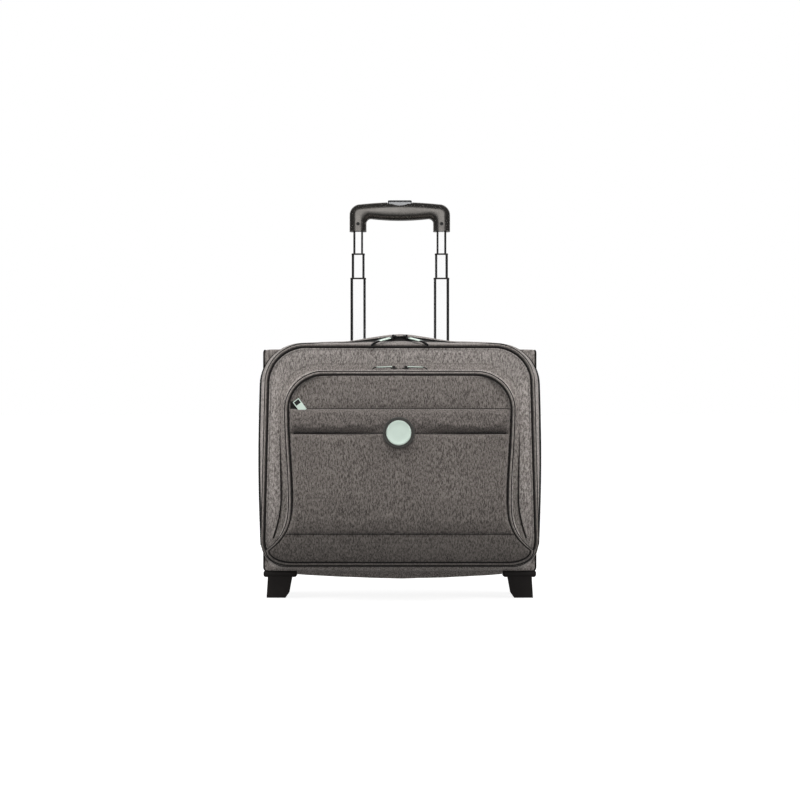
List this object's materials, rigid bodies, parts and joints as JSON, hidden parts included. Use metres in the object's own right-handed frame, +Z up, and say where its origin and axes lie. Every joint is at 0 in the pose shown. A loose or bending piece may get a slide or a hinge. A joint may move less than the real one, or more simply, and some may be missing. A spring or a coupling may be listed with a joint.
{
  "type": "rolling laptop case",
  "caption": "Soft upright laptop case with a zipped lid, arched front pocket, telescopic pull handle with push button, rear wheels and front feet.",
  "frame": {"origin": "bottom centre of the bounding box, on the floor", "axes": "+X to the case's left-to-right as seen from the front, +Y to the rear, +Z up"},
  "size_m": [0.428, 0.2, 0.6146],
  "materials": {
    "case_fabric": "heathered woven polyester",
    "pocket_fabric": "heathered woven polyester, darker",
    "lining": "plain woven lining over foam",
    "webbing": "woven webbing",
    "piping": "covered cord",
    "zip_tape": "coil zip on woven tape",
    "black_plastic": "fine grained moulding",
    "grip_plastic": "soft-touch moulding",
    "hub_plastic": "moulded",
    "tyre_rubber": "smooth tread",
    "tube_aluminium": "polished and anodised",
    "steel": "plain",
    "button_silver": "silver finish",
    "slider_black": "black enamel",
    "pull_mint": "satin mint enamel",
    "badge_ring": "moulded rubber ring",
    "badge_mint": "satin"
  },
  "bodies": {
    "case": {"rear_section": "case_fabric", "back_panel": "case_fabric", "rear_piping": "piping", "rear_band": "case_fabric", "base_board": "lining", "lining_panel": "lining", "laptop_divider": "lining", "laptop_strap": "webbing", "top_bezel": "black_plastic", "fixed_tubes": "tube_aluminium", "tube_sockets": "black_plastic", "wheel_housing_left": "black_plastic", "wheel_housing_right": "black_plastic", "axles": "steel", "foot_left": "black_plastic", "foot_right": "black_plastic", "foot_screws": "steel", "grab_handle": "pocket_fabric", "zip_tape_case": "zip_tape"},
    "lid": {"lid_gusset": "case_fabric", "lid_panel": "case_fabric", "lid_piping": "piping", "zip_tape_lid": "zip_tape", "pocket_gusset": "pocket_fabric"},
    "pocket_front": {"pocket_rim": "pocket_fabric", "pocket_panel": "pocket_fabric", "pocket_piping": "piping", "slip_gusset": "pocket_fabric", "slip_panel": "pocket_fabric", "slip_band": "pocket_fabric", "slip_zip": "zip_tape", "badge_ring": "badge_ring", "badge_disc": "badge_mint"},
    "stage_1": {"stage_1_tube_left": "tube_aluminium", "stage_1_tube_right": "tube_aluminium", "stage_1_collars": "black_plastic"},
    "stage_2": {"stage_2_tube_left": "tube_aluminium", "stage_2_tube_right": "tube_aluminium", "stage_2_collars": "black_plastic"},
    "stage_3": {"stage_3_tube_left": "tube_aluminium", "stage_3_tube_right": "tube_aluminium", "grip": "grip_plastic", "grip_screws": "steel", "button_spring": "steel"},
    "button": {"push_button": "button_silver", "push_rods": "steel"},
    "wheel_left": {"hub_left": "hub_plastic", "tyre_left": "tyre_rubber"},
    "wheel_right": {"hub_right": "hub_plastic", "tyre_right": "tyre_rubber"},
    "main_slider_left": {"main_slider_left": "slider_black"},
    "main_slider_right": {"main_slider_right": "slider_black"},
    "main_pull_left": {"main_pull_left": "pull_mint"},
    "main_pull_right": {"main_pull_right": "pull_mint"},
    "pocket_slider_left": {"pocket_slider_left": "slider_black"},
    "pocket_slider_right": {"pocket_slider_right": "slider_black"},
    "pocket_pull_left": {"pocket_pull_left": "pull_mint"},
    "pocket_pull_right": {"pocket_pull_right": "pull_mint"},
    "slip_slider": {"slip_slider": "slider_black"},
    "slip_pull": {"slip_pull": "pull_mint"}
  },
  "joints": [
    {"name": "lid_fold", "type": "hinge", "parent": "case", "child": "lid", "pos_m": [0, -0.022, 0.05], "axis": [1, 0, 0], "range_deg": [0, 45]},
    {"name": "pocket_fold", "type": "hinge", "parent": "lid", "child": "pocket_front", "pos_m": [0, -0.07, 0.0605], "axis": [1, 0, 0], "range_deg": [0, 30]},
    {"name": "stage_1_slide", "type": "slide", "parent": "case", "child": "stage_1", "axis": [0, 0, 1], "range_m": [-0.1, 0.1]},
    {"name": "stage_2_slide", "type": "slide", "parent": "stage_1", "child": "stage_2", "axis": [0, 0, 1], "range_m": [-0.036, 0.164]},
    {"name": "stage_3_slide", "type": "slide", "parent": "stage_2", "child": "stage_3", "axis": [0, 0, 1], "range_m": [-0.033, 0.167]},
    {"name": "button_press", "type": "slide", "parent": "stage_3", "child": "button", "axis": [0, 0, -1], "range_m": [0, 0.004], "stiffness_N_per_m": 1500, "springref_m": -0.001, "deforming": ["button_spring"]},
    {"name": "wheel_left_spin", "type": "hinge", "parent": "case", "child": "wheel_left", "pos_m": [-0.186, 0.07, 0.03], "axis": [1, 0, 0], "continuous": true},
    {"name": "wheel_right_spin", "type": "hinge", "parent": "case", "child": "wheel_right", "pos_m": [0.186, 0.07, 0.03], "axis": [1, 0, 0], "continuous": true},
    {"name": "main_slider_left_slide", "type": "slide", "parent": "lid", "child": "main_slider_left", "axis": [-0.9894, 0, -0.1455], "range_m": [0, 0.02]},
    {"name": "main_pull_left_swing", "type": "hinge", "parent": "main_slider_left", "child": "main_pull_left", "pos_m": [-0.00929, -0.022, 0.40386], "axis": [-0.4947, 0.866, -0.0727], "range_deg": [0, 110]},
    {"name": "main_slider_right_slide", "type": "slide", "parent": "lid", "child": "main_slider_right", "axis": [0.9894, 0, -0.1455], "range_m": [0, 0.02]},
    {"name": "main_pull_right_swing", "type": "hinge", "parent": "main_slider_right", "child": "main_pull_right", "pos_m": [0.00929, -0.022, 0.40386], "axis": [-0.4947, -0.866, 0.0727], "range_deg": [0, 110]},
    {"name": "pocket_slider_left_slide", "type": "slide", "parent": "lid", "child": "pocket_slider_left", "axis": [-1, 0, 0], "range_m": [0, 0.09]},
    {"name": "pocket_pull_left_swing", "type": "hinge", "parent": "pocket_slider_left", "child": "pocket_pull_left", "pos_m": [-0.0085, -0.07, 0.35195], "axis": [0, 1, 0], "range_deg": [0, 110]},
    {"name": "pocket_slider_right_slide", "type": "slide", "parent": "lid", "child": "pocket_slider_right", "axis": [1, 0, 0], "range_m": [0, 0.09]},
    {"name": "pocket_pull_right_swing", "type": "hinge", "parent": "pocket_slider_right", "child": "pocket_pull_right", "pos_m": [0.0085, -0.07, 0.35195], "axis": [0, -1, 0], "range_deg": [0, 110]},
    {"name": "slip_slider_slide", "type": "slide", "parent": "pocket_front", "child": "slip_slider", "axis": [1, 0, 0], "range_m": [0, 0.29]},
    {"name": "slip_pull_swing", "type": "hinge", "parent": "slip_slider", "child": "slip_pull", "pos_m": [-0.145, -0.0944, 0.293], "axis": [0.788, 0, 0.6157], "range_deg": [0, 100]}
  ]
}
